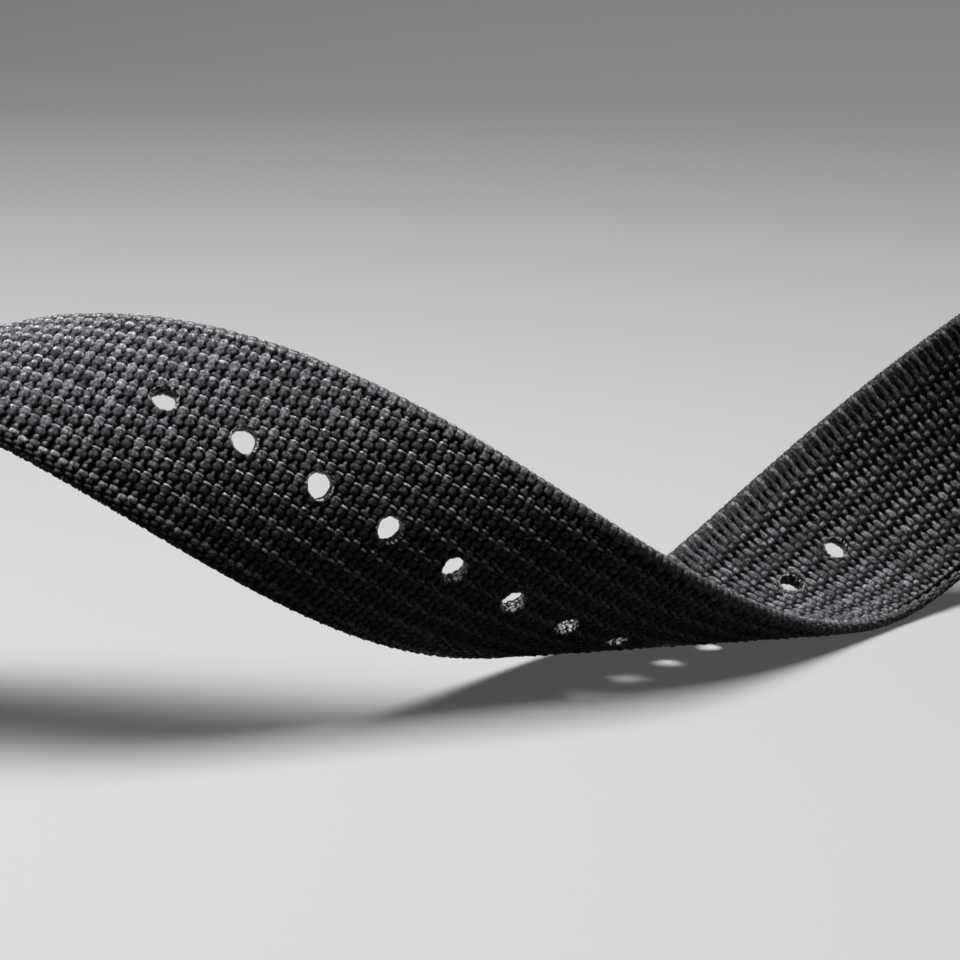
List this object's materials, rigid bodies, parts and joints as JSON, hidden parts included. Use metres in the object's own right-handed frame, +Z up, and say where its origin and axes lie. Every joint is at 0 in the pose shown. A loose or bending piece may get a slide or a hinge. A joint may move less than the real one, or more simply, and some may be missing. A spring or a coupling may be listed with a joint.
{
  "type": "nato watch strap",
  "caption": "Woven nylon watch strap with punched holes, folded round a steel buckle, with a welded short strap, wire keepers and a ring; its free end curls in the air.",
  "frame": {"origin": "on the table, under the middle of the whole part", "axes": "+X along the flat buckle end of the strap, from the buckle towards the curled tip; +Y across it; +Z up, out of the strap's outer face"},
  "size_m": [0.2315, 0.096, 0.033],
  "materials": {
    "webbing": "coarse black nylon weave",
    "steel": "satin steel wire"
  },
  "bodies": {
    "strap": {"long_strap": "webbing", "short_strap": "webbing", "spring_bar_tube": "steel", "spring_bar_spring": "steel"},
    "buckle": {"buckle_frame": "steel"},
    "buckle_tang": {"tang": "steel"},
    "pin_left": {"spring_bar_pin_left": "steel"},
    "pin_right": {"spring_bar_pin_right": "steel"},
    "loop_near": {"keeper_near": "steel"},
    "loop_far": {"keeper_far": "steel"},
    "loop_ring": {"strap_ring": "steel"}
  },
  "joints": [
    {"name": "buckle_hinge", "type": "hinge", "parent": "strap", "child": "buckle", "pos_m": [-0.10168, -0.03493, 0.0035], "axis": [0, 1, 0], "range_deg": [-15, 35]},
    {"name": "tang_hinge", "type": "hinge", "parent": "buckle", "child": "buckle_tang", "pos_m": [-0.10168, -0.03493, 0.0035], "axis": [0, 1, 0], "range_deg": [0, 75]},
    {"name": "keeper_near_swivel", "type": "hinge", "parent": "strap", "child": "loop_near", "pos_m": [-0.09068, -0.03493, 0.00363], "axis": [0, 1, 0], "range_deg": [-55, 55]},
    {"name": "keeper_far_swivel", "type": "hinge", "parent": "strap", "child": "loop_far", "pos_m": [-0.07767, -0.03493, 0.00363], "axis": [0, 1, 0], "range_deg": [-55, 55]},
    {"name": "ring_swivel", "type": "hinge", "parent": "strap", "child": "loop_ring", "pos_m": [-0.01968, -0.03493, 0.00222], "axis": [0, 1, 0], "range_deg": [-45, 45]},
    {"name": "pin_left_slide", "type": "slide", "parent": "strap", "child": "pin_left", "axis": [0, 1, 0], "range_m": [0, 0.0017], "stiffness_N_per_m": 800, "springref_m": -0.001, "deforming": ["spring_bar_spring"]},
    {"name": "pin_right_slide", "type": "slide", "parent": "strap", "child": "pin_right", "axis": [0, -1, 0], "range_m": [0, 0.0017], "stiffness_N_per_m": 800, "springref_m": -0.001, "deforming": ["spring_bar_spring"]}
  ]
}
